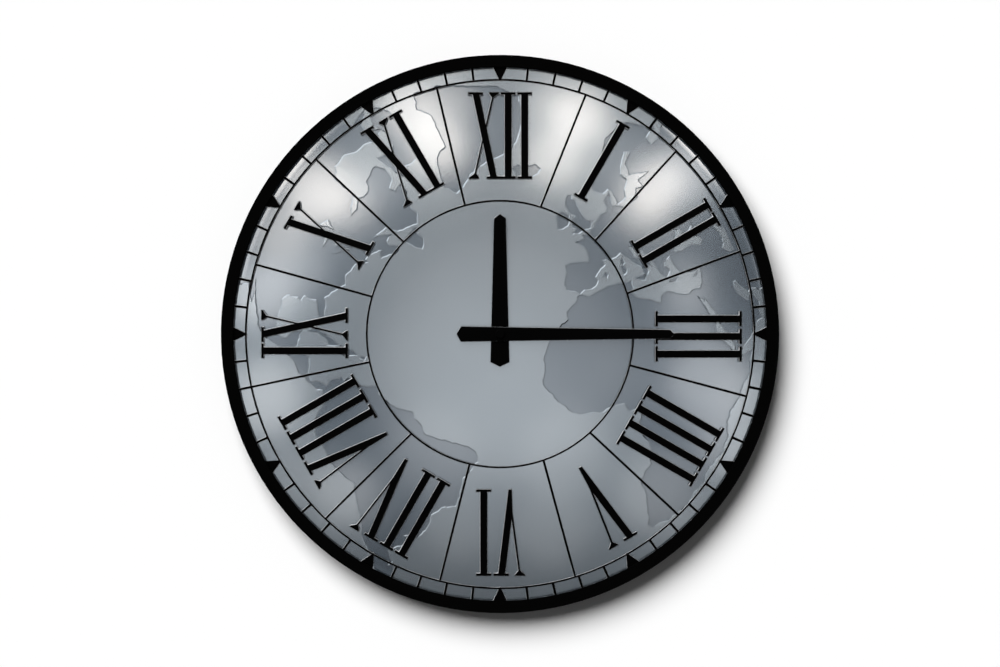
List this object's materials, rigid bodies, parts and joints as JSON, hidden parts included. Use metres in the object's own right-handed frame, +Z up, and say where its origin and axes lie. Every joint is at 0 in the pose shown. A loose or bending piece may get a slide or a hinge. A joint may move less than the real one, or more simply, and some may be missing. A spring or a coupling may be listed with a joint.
{
  "type": "wall clock",
  "caption": "Round wall clock: domed metal dial with a raised world map, black Roman numerals and minute track, black bar hands, deep bezel and a battery quartz movement behind.",
  "frame": {"origin": "on the axis of the hands, in the plane of the wall that the back rests on", "axes": "+Z up towards twelve, +Y into the wall, so the dial faces -Y; +X towards three"},
  "size_m": [0.305, 0.0345, 0.305],
  "materials": {
    "black_powder_coat": "satin black powder coat on steel",
    "rear_grey_coat": "textured dark grey coat on pressed steel",
    "screw_steel": "blackened steel",
    "gasket_rubber": "matt black rubber",
    "dial_land": "satin dark grey anodised aluminium",
    "dial_sea": "satin blue-grey anodised aluminium",
    "dial_black": "black lacquer on thin sheet",
    "hand_black": "black lacquer on aluminium",
    "brass": "turned brass",
    "movement_plastic": "textured black ABS",
    "knob_plastic": "dark grey ABS",
    "gear_plastic": "natural acetal",
    "arbor_steel": "ground steel",
    "battery_jacket": "printed film jacket, left plain",
    "contact_nickel": "nickel-plated spring strip",
    "board_laminate": "paper laminate circuit board",
    "chip_epoxy": "black epoxy",
    "crystal_can": "drawn metal can",
    "coil_copper": "enamelled copper wire",
    "motor_iron": "stamped soft iron"
  },
  "bodies": {
    "case": {"bezel": "black_powder_coat", "rear_case": "rear_grey_coat", "case_screws": "screw_steel", "dial_gasket": "gasket_rubber", "dial_plate": "dial_land", "sea_overlay": "dial_sea", "dial_fret": "dial_black", "rubber_washer": "gasket_rubber", "brass_washer": "brass", "hex_nut": "brass", "mounting_bush": "brass", "movement_case": "movement_plastic", "movement_cover": "movement_plastic", "train_bridge": "gear_plastic", "bridge_screws": "screw_steel", "battery": "battery_jacket", "contact_positive": "contact_nickel", "contact_negative": "contact_nickel", "circuit_board": "board_laminate", "chip_blob": "chip_epoxy", "quartz_crystal": "crystal_can", "coil_bobbin": "gear_plastic", "coil_winding": "coil_copper", "coil_core": "motor_iron", "stator": "motor_iron", "numeral_1": "dial_black", "numeral_2": "dial_black", "numeral_3": "dial_black", "numeral_4": "dial_black", "numeral_5": "dial_black", "numeral_6": "dial_black", "numeral_7": "dial_black", "numeral_8": "dial_black", "numeral_9": "dial_black", "numeral_10": "dial_black", "numeral_11": "dial_black", "numeral_12": "dial_black"},
    "minute": {"minute_arbor": "brass", "clutch_spring": "arbor_steel", "minute_hand": "hand_black", "hand_nut": "hand_black"},
    "hour": {"hour_wheel": "brass", "hour_hand": "hand_black"},
    "setting": {"setting_arbor": "gear_plastic", "setting_knob": "knob_plastic"},
    "seconds": {"seconds_wheel": "gear_plastic"},
    "third": {"third_wheel": "gear_plastic"},
    "centre": {"centre_wheel": "gear_plastic"},
    "step": {"step_wheel": "gear_plastic"},
    "rotor": {"rotor_pinion": "gear_plastic", "rotor_magnet": "motor_iron"}
  },
  "joints": [
    {"name": "minute_turn", "type": "hinge", "parent": "case", "child": "minute", "pos_m": [0, -0.032, 0], "axis": [0, 1, 0], "continuous": true},
    {"name": "hour_turn", "type": "hinge", "parent": "case", "child": "hour", "pos_m": [0, -0.03, 0], "axis": [0, 1, 0], "continuous": true},
    {"name": "setting_turn", "type": "hinge", "parent": "case", "child": "setting", "pos_m": [-0.00866, -0.02, 0.005], "axis": [0, 1, 0], "continuous": true},
    {"name": "seconds_turn", "type": "hinge", "parent": "case", "child": "seconds", "pos_m": [0, -0.013, 0], "axis": [0, 1, 0], "continuous": true},
    {"name": "third_turn", "type": "hinge", "parent": "case", "child": "third", "pos_m": [0.00308, -0.015, 0.00846], "axis": [0, 1, 0], "continuous": true},
    {"name": "centre_turn", "type": "hinge", "parent": "case", "child": "centre", "pos_m": [0, -0.018, 0], "axis": [0, 1, 0], "continuous": true},
    {"name": "step_turn", "type": "hinge", "parent": "case", "child": "step", "pos_m": [0.00677, -0.0116, -0.00246], "axis": [0, 1, 0], "continuous": true},
    {"name": "rotor_turn", "type": "hinge", "parent": "case", "child": "rotor", "pos_m": [0.01353, -0.0116, -0.00065], "axis": [0, 1, 0], "continuous": true}
  ],
  "couplings": [
    {"joint": "hour_turn", "follows": "minute_turn", "ratio": 0.083333},
    {"joint": "setting_turn", "follows": "minute_turn", "ratio": -0.33333},
    {"joint": "third_turn", "follows": "seconds_turn", "ratio": -0.13333},
    {"joint": "centre_turn", "follows": "seconds_turn", "ratio": 0.016667},
    {"joint": "step_turn", "follows": "seconds_turn", "ratio": -5},
    {"joint": "rotor_turn", "follows": "seconds_turn", "ratio": 30}
  ]
}
